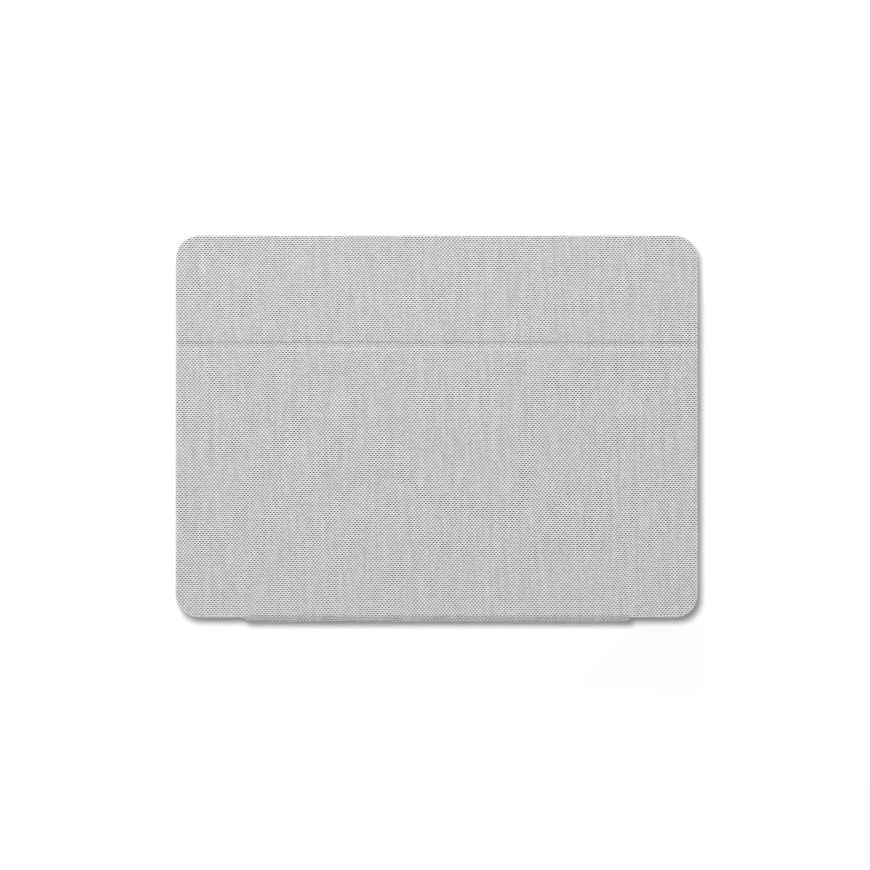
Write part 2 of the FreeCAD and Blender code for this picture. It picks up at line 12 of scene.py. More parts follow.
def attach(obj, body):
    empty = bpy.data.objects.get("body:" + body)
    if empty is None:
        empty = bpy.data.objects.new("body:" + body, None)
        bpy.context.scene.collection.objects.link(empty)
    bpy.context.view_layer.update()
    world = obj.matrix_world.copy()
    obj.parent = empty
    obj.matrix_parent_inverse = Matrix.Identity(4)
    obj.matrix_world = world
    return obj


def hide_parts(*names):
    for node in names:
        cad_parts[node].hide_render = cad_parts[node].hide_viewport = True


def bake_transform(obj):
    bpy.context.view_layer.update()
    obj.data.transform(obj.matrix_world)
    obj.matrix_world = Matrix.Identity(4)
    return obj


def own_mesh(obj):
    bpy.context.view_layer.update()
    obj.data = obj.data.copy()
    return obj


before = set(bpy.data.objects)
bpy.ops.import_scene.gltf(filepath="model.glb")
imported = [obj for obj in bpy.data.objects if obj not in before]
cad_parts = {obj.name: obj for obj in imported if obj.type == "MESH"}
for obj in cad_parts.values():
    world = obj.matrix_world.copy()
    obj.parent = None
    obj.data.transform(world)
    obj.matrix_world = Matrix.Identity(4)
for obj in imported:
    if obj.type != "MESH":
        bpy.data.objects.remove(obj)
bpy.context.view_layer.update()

LOG = logging.getLogger("case")
MM = 0.001
WEAVE_MAP = "weave"
# The rim attribute carries a painted highlight. It fades the weave's dark yarn spots out on the cloth's
# edges, so that they come out paler, as if lit; a rim of 1.6 takes the spots out fully.
RIM = "rim"
RIM_FULL_HIGHLIGHT = 1.6
SHARP = 40.0
MERGE = 0.0005
EDGE_STEPS = 3

Colour = tuple[float, float, float]
Pair = tuple[float, float]
Socket = bpy.types.NodeSocket
Point = bmesh.types.BMVert
Input = Union[Socket, float, int, bool, str, Sequence[float]]
Given = dict[Union[str, int], Input]


class Body(Enum):
    """The rigid bodies that the larger pieces move with."""

    BASE = "keyboard_base"
    SPINE = "spine"
    HOLDER = "tablet_holder"
    KICK = "kickstand"


class Held(Enum):
    """How a sheet is kept in place."""

    STRETCHED = "stretched"
    LAID = "laid"


class NodeBench:
    """Adds nodes to one tree and wires them up."""

    def __init__(self, tree: bpy.types.NodeTree) -> None:
        """Takes the shader or geometry tree to work on."""
        self.tree = tree

    def add(self, kind: str, given: Optional[Given] = None, **settings: object) -> bpy.types.Node:
        """Adds one node.

        Args:
            kind: The node's type name.
            given: Its inputs, by name or place.
            settings: Properties to set on it first.

        Returns:
            The new node.
        """
        node = self.tree.nodes.new(kind)
        for name, value in settings.items():
            setattr(node, name, value)
        self.fill(node, given or {})
        return node

    def fill(self, node: bpy.types.Node, given: Given) -> None:
        """Links or sets a node's inputs.

        Args:
            node: The node to fill.
            given: Sockets to link and plain values to set, by the input's name or place.
        """
        for name, value in given.items():
            if isinstance(value, bpy.types.NodeSocket):
                self.tree.links.new(value, node.inputs[name])
            else:
                node.inputs[name].default_value = value

    def math(self, operation: str, *values: Input) -> Socket:
        """Works out numbers, given in order."""
        return self.add("ShaderNodeMath", dict(enumerate(values)), operation=operation).outputs[0]

    def scaled(self, value: Input, by: Input, plus: Input = 0.0) -> Socket:
        """Multiplies a number and adds another."""
        return self.math("MULTIPLY_ADD", value, by, plus)

    def around(self, value: Input, spread: float, middle: float = 1.0) -> Socket:
        """Spreads a number from 0 to 1 evenly about a middle."""
        return self.scaled(value, spread, middle - spread / 2)

    def range(self, value: Input, low: Input, high: Input, at_low: Input, at_high: Input) -> Socket:
        """Maps a value smoothly from the result at one end to the result at the other."""
        given = {"Value": value, "From Min": low, "From Max": high, "To Min": at_low, "To Max": at_high}
        return self.add("ShaderNodeMapRange", given, interpolation_type="SMOOTHSTEP").outputs["Result"]

    def below(self, value: Input, edge: float, soft: float) -> Socket:
        """Gives 1 below an edge and 0 above it, with a soft step between."""
        return self.range(value, edge - soft, edge + soft, 1.0, 0.0)

    def off_middle(self, value: Input) -> Socket:
        """Tells how far a number is from the middle between two whole ones."""
        return self.math("ABSOLUTE", self.math("SUBTRACT", self.math("FRACT", value), 0.5))

    def mix(self, factor: Input, first: Input, second: Input, mode: str = "MIX") -> Socket:
        """Mixes two colours.

        Args:
            factor: Share of the second one.
            first: A socket or a colour.
            second: A socket or a colour.
            mode: How they are mixed.

        Returns:
            The colour's socket.
        """
        tones = [(*tone, 1.0) if isinstance(tone, tuple) else tone for tone in (first, second)]
        given = {0: factor, 6: tones[0], 7: tones[1]}
        return self.add("ShaderNodeMix", given, data_type="RGBA", blend_type=mode).outputs[2]

    def toned(self, colour: Colour, level: Socket) -> Socket:
        """Makes a colour lighter or darker by a level that is about 1."""
        return self.mix(1.0, colour, self.point(level, level, level), "MULTIPLY")

    def noise(self, place: Socket, scale: float, detail: float) -> Socket:
        """Adds a noise with so many features in a unit of length, and so many finer layers."""
        given = {"Vector": place, "Scale": scale, "Detail": detail}
        return self.add("ShaderNodeTexNoise", given).outputs["Fac"]

    def random(self, *places: Input) -> Socket:
        """Gives each place one fixed random number from 0 to 1."""
        given = {"Vector": self.point(*places)}
        return self.add("ShaderNodeTexWhiteNoise", given, noise_dimensions="3D").outputs["Value"]

    def point(self, *places: Input) -> Socket:
        """Joins three numbers to a vector."""
        return self.add("ShaderNodeCombineXYZ", dict(enumerate(places))).outputs[0]

    def parts(self, vector: Socket) -> tuple[Socket, ...]:
        """Takes a vector apart."""
        return tuple(self.add("ShaderNodeSeparateXYZ", {0: vector}).outputs)

    def bump(self, height: Socket, depth: float, strength: float) -> Socket:
        """Turns a height from 0 to 1, with its depth in millimetres, into a surface normal."""
        given = {"Distance": depth * MM, "Strength": strength, "Height": height}
        return self.add("ShaderNodeBump", given).outputs["Normal"]


@dataclass(frozen=True)
class Finish:
    """What every finish has: a name, its colour and roughness, and a slot name."""

    name: str
    colour: Colour
    roughness: float
    slot: str = ""

    def material(self) -> bpy.types.Material:
        """Gives the finish's material, made on first use.

        Returns:
            The one material of this finish.
        """
        known = bpy.data.materials.get(self.name)
        if known:
            return known
        made = bpy.data.materials.new(self.name)
        made.use_nodes = True
        made.diffuse_color = (*self.colour, 1.0)
        bench = NodeBench(made.node_tree)
        shader = made.node_tree.nodes["Principled BSDF"]
        bench.fill(shader, {"Roughness": self.roughness})
        bench.fill(shader, self.paint(bench))
        return made

    def paint(self, bench: NodeBench) -> Given:
        """Gives the shader's inputs for colour and surface, which each kind of finish makes its own way."""
        raise NotImplementedError

    @staticmethod
    def place(bench: NodeBench) -> Socket:
        """Gives the piece's own coordinates, in metres."""
        return bench.add("ShaderNodeTexCoord").outputs["Object"]


@dataclass(frozen=True)
class WovenCloth(Finish):
    """Two-tone plain weave: pale thick weft with darker warp showing between its rows."""

    warp_colour: Colour = (0.02, 0.02, 0.02)
    warp_pitch: float = 0.809
    weft_pitch: float = 0.944
    warp_slant: float = 0.019
    weft_slant: float = -0.008
    warp_drift: float = 1.4
    weft_drift: float = 2.8
    drift_scale: Pair = (16.0, 7.0)
    drift_planes: Pair = (3.0, 9.0)
    warp_width: float = 1.25
    warp_soft: float = 0.05
    warp_float: float = 0.52
    float_soft: float = 0.1
    # Painted highlight on the edges: as the rim value goes from the first to the second, the dark yarn spots
    # fade out.
    rim_highlight_fade: Pair = (0.4, 1.6)
    warp_depth: float = 0.95
    depth_spread: float = 0.3
    warp_spread: float = 0.05
    weft_spread: float = 0.025
    streak: float = 0.34
    streak_scale: Pair = (0.37, 0.055)
    streak_plane: float = 4.0
    row_seeds: Pair = (3.0, 7.0)
    column_seeds: Pair = (5.0, 2.0)
    weft_crown: Pair = (0.1, 0.5)
    relief: float = 0.12
    relief_share: float = 0.6
    relief_strength: float = 0.35
    gloss: float = 0.2
    sheen: float = 0.08

    def yarns(self, bench: NodeBench) -> tuple[Socket, Socket]:
        """Counts the yarns on the cloth's own flat map, with the slow drift of a real weave.

        Args:
            bench: The material's tree.

        Returns:
            The place across in warp yarns, and along in weft rows.
        """
        across, along, _ = bench.parts(bench.add("ShaderNodeUVMap", uv_map=WEAVE_MAP).outputs[0])
        far_across = bench.scaled(across, self.drift_scale[0])
        far_along = bench.scaled(along, self.drift_scale[1])
        lean = bench.noise(bench.point(far_along, far_across, self.drift_planes[0]), 1.0, 1.0)
        bow = bench.noise(bench.point(far_across, far_along, self.drift_planes[1]), 1.0, 1.0)
        slid = bench.scaled(along, self.warp_slant, across)
        risen = bench.scaled(across, self.weft_slant, along)
        u = bench.scaled(lean, self.warp_drift, bench.math("DIVIDE", slid, self.warp_pitch * MM))
        v = bench.scaled(bow, self.weft_drift, bench.math("DIVIDE", risen, self.weft_pitch * MM))
        return u, v

    def paint(self, bench: NodeBench) -> Given:
        """Draws the yarns, so that they bend with the cloth, and paints a highlight on its edges by fading
        the dark spots out there.

        Args:
            bench: The material's tree.

        Returns:
            The shader's inputs.
        """
        u, v = self.yarns(bench)
        warp, weft = bench.math("FLOOR", u), bench.math("FLOOR", v)
        pair = bench.scaled(bench.math("ADD", u, bench.math("FLOORED_MODULO", weft, 2.0)), 0.5)
        from_weft = bench.off_middle(v)
        in_width = bench.below(bench.off_middle(pair), self.warp_width / 4, self.warp_soft)
        in_float = bench.below(from_weft, self.warp_float / 2, self.float_soft)
        # Painted highlight: the rim value fades the dark yarn spots out on the turned edges, so that the
        # edges come out paler, as if lit.
        rim = bench.add("ShaderNodeAttribute", attribute_name=RIM).outputs["Fac"]
        kept = bench.range(rim, *self.rim_highlight_fade, 1.0, 0.0)
        shows = bench.math("MULTIPLY", bench.math("MULTIPLY", in_width, in_float), kept)
        cell = bench.random(bench.math("FLOOR", pair), weft, 0.0)
        depth = bench.math("MULTIPLY", shows, bench.around(cell, self.depth_spread, self.warp_depth))
        slow = bench.point(bench.scaled(warp, self.streak_scale[0]), bench.scaled(v, self.streak_scale[1]),
                           self.streak_plane)
        streaks = bench.around(bench.noise(slow, 1.0, 3.0), self.streak, 0.0)
        rows = bench.random(self.row_seeds[0], weft, self.row_seeds[1])
        columns = bench.random(warp, *self.column_seeds)
        yarns = bench.math("ADD", bench.around(rows, self.weft_spread),
                           bench.around(columns, self.warp_spread, 0.0))
        pale = bench.toned(self.colour, bench.math("ADD", yarns, streaks))
        crown = bench.scaled(bench.range(from_weft, *self.weft_crown, 1.0, 0.0), self.relief_share)
        height = bench.scaled(shows, -self.relief_share, crown)
        return {"Base Color": bench.mix(depth, pale, self.warp_colour),
                "Normal": bench.bump(height, self.relief, self.relief_strength),
                "Specular IOR Level": self.gloss, "Sheen Weight": self.sheen}


@dataclass(frozen=True)
class Moulded(Finish):
    """Plastic or rubber out of a tool with a fine eroded grain."""

    grain: float = 0.35
    depth: float = 0.02
    strength: float = 0.6
    speckle: float = 0.08
    mottle: float = 0.06
    mottle_scale: float = 60.0
    gloss_drift: float = 0.16

    def paint(self, bench: NodeBench) -> Given:
        """Gives the colour a slight mottle and the surface its grain.

        Args:
            bench: The material's tree.

        Returns:
            The shader's inputs.
        """
        place = self.place(bench)
        fine = bench.noise(place, 1.0 / (self.grain * MM), 2.0)
        broad = bench.noise(place, self.mottle_scale, 3.0)
        level = bench.math("ADD", bench.around(broad, self.mottle), bench.around(fine, self.speckle, 0.0))
        return {"Base Color": bench.toned(self.colour, level),
                "Roughness": bench.around(broad, self.gloss_drift, self.roughness),
                "Normal": bench.bump(fine, self.depth, self.strength)}


@dataclass(frozen=True)
class Napped(Finish):
    """Brushed microfibre with a short nap that lies in patches."""

    nap: float = 0.25
    depth: float = 0.05
    strength: float = 0.5
    fibre: float = 0.36
    lie: float = 0.12
    lie_scale: float = 35.0
    sheen: Pair = (0.35, 0.5)
    gloss: float = 0.1

    def paint(self, bench: NodeBench) -> Given:
        """Mixes the fibres' fine tone with the way that the nap lies.

        Args:
            bench: The material's tree.

        Returns:
            The shader's inputs.
        """
        place = self.place(bench)
        fibres = bench.noise(place, 1.0 / (self.nap * MM), 3.0)
        lying = bench.noise(place, self.lie_scale, 2.0)
        level = bench.math("ADD", bench.around(lying, self.lie), bench.around(fibres, self.fibre, 0.0))
        return {"Base Color": bench.toned(self.colour, level),
                "Normal": bench.bump(fibres, self.depth, self.strength),
                "Sheen Weight": self.sheen[0], "Sheen Roughness": self.sheen[1],
                "Specular IOR Level": self.gloss}


@dataclass(frozen=True)
class Rolled(Finish):
    """Sheet metal with rolling lines along the case."""

    lines: float = 0.12
    stretch: float = 0.02
    depth: float = 0.008
    strength: float = 0.4
    contrast: float = 0.2
    metallic: float = 1.0

    def paint(self, bench: NodeBench) -> Given:
        """Draws lines that are long in X and fine in Y.

        Args:
            bench: The material's tree.

        Returns:
            The shader's inputs.
        """
        x, y, z = bench.parts(self.place(bench))
        lines = bench.noise(bench.point(bench.scaled(x, self.stretch), y, z), 1.0 / (self.lines * MM), 3.0)
        return {"Base Color": bench.toned(self.colour, bench.around(lines, self.contrast)),
                "Roughness": bench.around(lines, self.contrast, self.roughness),
                "Normal": bench.bump(lines, self.depth, self.strength), "Metallic": self.metallic}


@dataclass(frozen=True)
class Printed(Finish):
    """Film or laminate with conductor runs printed on it."""

    run_colour: Colour = (0.5, 0.5, 0.5)
    pitch: float = 2.4
    run_width: float = 0.32
    run_soft: float = 0.1
    run_length: float = 4.0
    stagger: float = 0.37
    depth: float = 0.02
    strength: float = 0.5

    def paint(self, bench: NodeBench) -> Given:
        """Draws runs in bricks of straight lengths.

        Args:
            bench: The material's tree.

        Returns:
            The shader's inputs.
        """
        given = {"Vector": self.place(bench), "Scale": 1.0 / (self.pitch * MM), "Row Height": 1.0,
                 "Brick Width": self.run_length, "Mortar Size": self.run_width / 2,
                 "Mortar Smooth": self.run_soft}
        runs = bench.add("ShaderNodeTexBrick", given, offset=self.stagger).outputs["Fac"]
        return {"Base Color": bench.mix(runs, self.colour, self.run_colour),
                "Normal": bench.bump(runs, self.depth, self.strength)}


@dataclass(frozen=True)
class Lens(Finish):
    """Milky light pipe."""

    cloud: float = 0.1
    cloud_scale: float = 900.0
    clear: float = 0.3

    def paint(self, bench: NodeBench) -> Given:
        """Lets some light through, with a cloudy tone."""
        level = bench.around(bench.noise(self.place(bench), self.cloud_scale, 2.0), self.cloud)
        return {"Base Color": bench.toned(self.colour, level), "Transmission Weight": self.clear}


CLOTH = WovenCloth("woven_grey_cloth", (0.72, 0.72, 0.72), 0.9, "woven_cloth")
LINING = Napped("brushed_lining", (0.2, 0.205, 0.21), 0.95, "lining")
SHELL = Moulded("pale_shell_plastic", (0.46, 0.46, 0.465), 0.55)
DECK = Moulded("key_deck_plastic", (0.36, 0.362, 0.368), 0.6, grain=0.3)
KEYS = Moulded("key_cap_plastic", (0.075, 0.077, 0.08), 0.5, "key_plastic", grain=0.22, depth=0.012)
PAD = Moulded("trackpad_film", (0.27, 0.272, 0.278), 0.46, grain=0.12, depth=0.004, mottle=0.03,
              gloss_drift=0.02)
FRAME = Moulded("tray_frame_rubber", (0.07, 0.071, 0.073), 0.7, grain=0.3)
PLATE = Moulded("tray_plate_plastic", (0.16, 0.161, 0.164), 0.6)
BUTTON = Moulded("button_plastic", (0.1, 0.101, 0.104), 0.45, grain=0.2, depth=0.01)
BUMPER = Moulded("bumper_rubber", (0.05, 0.05, 0.052), 0.75, grain=0.25)
DOME = Moulded("dome_rubber", (0.55, 0.56, 0.57), 0.5, "dome_rubber", grain=0.2)
BOARD = Moulded("stiff_board", (0.12, 0.118, 0.115), 0.9, grain=0.6, depth=0.05, mottle=0.25)
STEEL = Rolled("rolled_steel", (0.58, 0.58, 0.59), 0.35)
KEEPER = Rolled("blackened_steel", (0.16, 0.16, 0.165), 0.55, metallic=0.7)
MAGNET = Rolled("plated_magnet", (0.66, 0.65, 0.63), 0.25, lines=0.3)
POUCH = Rolled("battery_foil", (0.6, 0.61, 0.62), 0.42, lines=0.5, metallic=0.85)
FILM = Printed("membrane_film", (0.62, 0.63, 0.62), 0.35, run_colour=(0.3, 0.31, 0.32))
RIBBON = Printed("ribbon_film", (0.42, 0.22, 0.06), 0.4, run_colour=(0.55, 0.34, 0.14), pitch=1.0)
LAMINATE = Printed("circuit_laminate", (0.02, 0.09, 0.05), 0.4, run_colour=(0.05, 0.17, 0.09))
LIGHT = Lens("light_lens", (0.8, 0.82, 0.84), 0.3)
INK = Moulded("legend_ink", (0.78, 0.78, 0.78), 0.6, grain=0.15, depth=0.004, mottle=0.03)

NODE_FINISHES: dict[Finish, tuple[str, ...]] = {
    SHELL: ("bottom_shell",),
    DECK: ("key_deck",),
    KEYS: ("function_row", "number_row", "top_letter_row", "home_row", "bottom_letter_row",
           "modifier_keys", "backspace_key", "tab_key", "bracket_key", "caps_key", "enter_key",
           "left_shift_key", "right_shift_key", "left_alt_key", "space_bar", "right_alt_key",
           "left_arrow_key", "up_arrow_key", "down_arrow_key", "right_arrow_key"),
    PAD: ("trackpad",),
    FRAME: ("tray_frame",),
    PLATE: ("tray_plate",),
    BUTTON: ("power_button", "volume_rocker", "power_switch", "trackpad_switch"),
    BUMPER: ("screen_bumpers",),
    BOARD: ("top_board", "kick_board", "spine_board"),
    STEEL: ("hinge_fixed_leaves", "hinge_moving_leaves", "hinge_pins", "fixed_leaf_rivets",
            "moving_leaf_rivets", "support_plate", "base_screws", "usb_port"),
    KEEPER: ("tray_keepers",),
    MAGNET: ("kick_magnets", "base_magnets"),
    POUCH: ("battery_cell",),
    FILM: ("membrane_sheet",),
    RIBBON: ("flex_ribbon",),
    LAMINATE: ("main_board",),
    LIGHT: ("status_light",),
}


def steps(start: float, end: float, count: int) -> list[float]:
    """Divides a stretch into equal steps, with both its ends."""
    return [start + (end - start) * step / count for step in range(count + 1)]


def quarter(count: int) -> list[float]:
    """Divides a quarter turn into equal steps."""
    return steps(0.0, math.pi / 2, count)


def link(name: str, data: bpy.types.ID) -> bpy.types.Object:
    """Puts data in the scene.

    Args:
        name: The object's name.
        data: Its mesh, curve, light or camera.

    Returns:
        The object.
    """
    made = bpy.data.objects.new(name, data)
    bpy.context.scene.collection.objects.link(made)
    return made


def plain_mesh(piece: bpy.types.Object) -> bpy.types.Mesh:
    """Gives what a piece's curve or modifiers come to, as a new mesh."""
    graph = bpy.context.evaluated_depsgraph_get()
    return bpy.data.meshes.new_from_object(piece.evaluated_get(graph), preserve_all_data_layers=True,
                                           depsgraph=graph)


def smooth(mesh: bpy.types.Mesh) -> None:
    """Shades a mesh smoothly, but for its sharp edges."""
    mesh.polygons.foreach_set("use_smooth", [True] * len(mesh.polygons))
    mesh.set_sharp_from_angle(angle=math.radians(SHARP))


def place_piece(name: str, mesh: bpy.types.Mesh, finish: Finish) -> bpy.types.Object:
    """Puts a mesh in the scene as a piece, smooth and dressed.

    Args:
        name: The piece's name.
        mesh: Its mesh, in metres, in place.
        finish: Its finish.

    Returns:
        The piece.
    """
    piece = link(name, mesh)
    mesh.materials.clear()
    mesh.materials.append(finish.material())
    smooth(mesh)
    return piece


def to_mesh(name: str, shape: bmesh.types.BMesh) -> bpy.types.Mesh:
    """Ends an edit as a mesh, without doubled points.

    Args:
        name: The mesh's name.
        shape: What was drawn, which is freed.

    Returns:
        The mesh.
    """
    bmesh.ops.remove_doubles(shape, verts=shape.verts, dist=MERGE * MM)
    bmesh.ops.recalc_face_normals(shape, faces=shape.faces)
    mesh = bpy.data.meshes.new(name)
    shape.to_mesh(mesh)
    shape.free()
    return mesh


def report(piece: bpy.types.Object) -> None:
    """Logs a finished piece."""
    LOG.info("%s: %d faces", piece.name, len(piece.data.polygons))


class ShapeRule:
    """A Geometry Nodes tree that shapes a piece by a rule, with named inputs for its sizes."""

    def __init__(self, name: str, finish: Finish) -> None:
        """Starts a tree.

        Args:
            name: The tree's name.
            finish: The finish that its result gets.
        """
        self.tree = bpy.data.node_groups.new(name, "GeometryNodeTree")
        self.bench = NodeBench(self.tree)
        self.finish = finish
        sockets = self.tree.interface
        for way in ("INPUT", "OUTPUT"):
            sockets.new_socket("Geometry", in_out=way, socket_type="NodeSocketGeometry")
        cover = sockets.new_socket("Finish", in_out="INPUT", socket_type="NodeSocketMaterial")
        self.values: dict[str, object] = {cover.identifier: finish.material()}
        self.entry = self.bench.add("NodeGroupInput")

    @property
    def drawn(self) -> Socket:
        """Gives what the rule starts from."""
        return self.entry.outputs["Geometry"]

    def size(self, name: str, millimetres: float) -> Socket:
        """Adds a named size.

        Args:
            name: What it is.
            millimetres: Its value.

        Returns:
            The socket that carries it, in metres.
        """
        socket = self.tree.interface.new_socket(name, in_out="INPUT", socket_type="NodeSocketFloat")
        self.values[socket.identifier] = millimetres * MM
        return self.entry.outputs[name]

    def close(self, made: Socket) -> None:
        """Ends the tree with real geometry and its finish.

        Args:
            made: What the rule made.
        """
        real = self.bench.add("GeometryNodeRealizeInstances", {"Geometry": made})
        cover = {"Geometry": real.outputs["Geometry"], "Material": self.entry.outputs["Finish"]}
        dressed = self.bench.add("GeometryNodeSetMaterial", cover)
        self.bench.add("NodeGroupOutput", {"Geometry": dressed.outputs["Geometry"]})

    def repeat(self, kind: str, given: Given, **placing: Input) -> None:
        """Ends the tree with a simple solid on every point.

        Args:
            kind: The type name of the node that makes the solid.
            given: That node's inputs.
            placing: Further inputs for the copies, such as their scale.
        """
        solid = self.bench.add(kind, given)
        copies = {"Points": self.drawn, "Instance": solid.outputs["Mesh"], **placing}
        self.close(self.bench.add("GeometryNodeInstanceOnPoints", copies).outputs["Instances"])

    def grow(self, name: str, mesh: bpy.types.Mesh, cloth: float = 0.0) -> bpy.types.Object:
        """Makes a piece by the rule, as a plain mesh.

        Args:
            name: The piece's name.
            mesh: What the rule starts from, in metres.
            cloth: How thick it becomes, inwards, where the rule makes one open surface.

        Returns:
            The piece.
        """
        piece = place_piece(name, mesh, self.finish)
        shaping = piece.modifiers.new(self.tree.name, "NODES")
        shaping.node_group = self.tree
        for identifier, value in self.values.items():
            shaping[identifier] = value
        if cloth:
            wall = piece.modifiers.new("thickness", "SOLIDIFY")
            wall.thickness = cloth * MM
            wall.offset = -1.0
            wall.use_even_offset = True
        shaped = plain_mesh(piece)
        piece.modifiers.clear()
        piece.data = shaped
        smooth(shaped)
        return piece


class Draft:
    """A cloth mesh in the making, with a flat map for its weave and a measure of the painted highlight on its
    rim.
    """

    def __init__(self) -> None:
        """Starts with nothing drawn."""
        self.shape = bmesh.new()
        self.flat = self.shape.loops.layers.uv.new(WEAVE_MAP)
        self.rim = self.shape.verts.layers.float.new(RIM)
        self.maps: dict[Point, Vector] = {}

    def point(self, spot: Sequence[float], mapped: Vector, rim: float = 0.0) -> Point:
        """Adds a point.

        Args:
            spot: Its place, in millimetres.
            mapped: Its place on the flat cloth.
            rim: How much painted highlight the cloth gets there: the dark yarn spots fade out, so the edge
                comes out paler.

        Returns:
            The point.
        """
        vertex = self.shape.verts.new([place * MM for place in spot])
        vertex[self.rim] = rim
        self.maps[vertex] = mapped * MM
        return vertex

    def join(self, near: list[Point], far: list[Point], closed: bool = True) -> None:
        """Fills the strip between two rows of points with faces, which are turned outwards at the end.

        Args:
            near: One row.
            far: The other row, with as many points.
            closed: Whether the rows are rings.
        """
        for place in range(len(near) if closed else len(near) - 1):
            after = (place + 1) % len(near)
            self.shape.faces.new((near[place], far[place], far[after], near[after]))

    def mesh(self, name: str) -> bpy.types.Mesh:
        """Ends the draft as a mesh.

        Args:
            name: The mesh's name.

        Returns:
            The mesh.
        """
        for face in self.shape.faces:
            for loop in face.loops:
                loop[self.flat].uv = self.maps[loop.vert]
        return to_mesh(name, self.shape)


@dataclass(frozen=True)
class Outline:
    """A plate's outline in plan, in millimetres, with a radius at each corner from the front left."""

    half: float
    front: float
    rear: float
    radii: tuple[float, float, float, float]
    steps: int = 8

    @property
    def cut(self) -> Pair:
        """Gives the plate's width and length."""
        return 2 * self.half, self.rear - self.front

    def walk(self) -> list[tuple[Vector, Vector]]:
        """Walks round the outline.

        Returns:
            Points with the way out at each, anticlockwise from above.
        """
        corners = ((-1, self.front, 1), (1, self.front, 1), (1, self.rear, -1), (-1, self.rear, -1))
        found = []
        for place, ((side, y, inward), radius) in enumerate(zip(corners, self.radii)):
            middle = Vector((side * (self.half - radius), y + inward * radius))
            start = math.pi + place * math.pi / 2
            for turn in steps(start, start + math.pi / 2, self.steps):
                out = Vector((math.cos(turn), math.sin(turn)))
                found.append((middle + radius * out, out))
        return found

    def plate(self, low: float, high: float, edge: float) -> Draft:
        """Builds a closed thin plate with its edges rounded.

        Args:
            low: Its lower level, in millimetres.
            high: Its upper level.
            edge: How much its edges are rounded.

        Returns:
            The plate.
        """
        section = []
        for turn in quarter(EDGE_STEPS):
            section.append((edge * (1 - math.sin(turn)), low + edge * (1 - math.cos(turn))))
        section += [(inset, low + high - level) for inset, level in reversed(section)]
        draft = Draft()
        rings = []
        for inset, level in section:
            # Painted highlight: the plate's sides lose all their dark yarn spots and come out paler.
            rim = RIM_FULL_HIGHLIGHT if low < level < high else 0.0
            rings.append([draft.point((*(spot - inset * out), level), spot + (level - low - inset) * out, rim)
                          for spot, out in self.walk()])
        for lower, upper in zip(rings, rings[1:]):
            draft.join(lower, upper)
        for end in (reversed(rings[0]), rings[-1]):
            draft.shape.faces.new(tuple(end))
        return draft


def declare(piece: bpy.types.Object, nodes: Sequence[str], cut: Pair, held: Held) -> None:
    """Hides the solids that a cloth piece stands for, and logs the piece.

    Args:
        piece: The cloth.
        nodes: The solids that it replaces.
        cut: Width and length of the cut, in millimetres. Not used.
        held: How it is held. Not used.
    """
    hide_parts(*nodes)
    report(piece)


def lay_sheet(name: str, draft: Draft, outline: Outline, finish: Finish, body: Body, node: str,
              held: Held) -> None:
    """Lays a flat cloth or lining on its body.

    Args:
        name: The piece's name.
        draft: Its shape.
        outline: The outline that it is cut to.
        finish: Its finish.
        body: The body that it moves with.
        node: The solid that it replaces.
        held: How it is held.
    """
    sheet = place_piece(name, draft.mesh(name), finish)
    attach(sheet, body.value)
    declare(sheet, (node,), outline.cut, held)


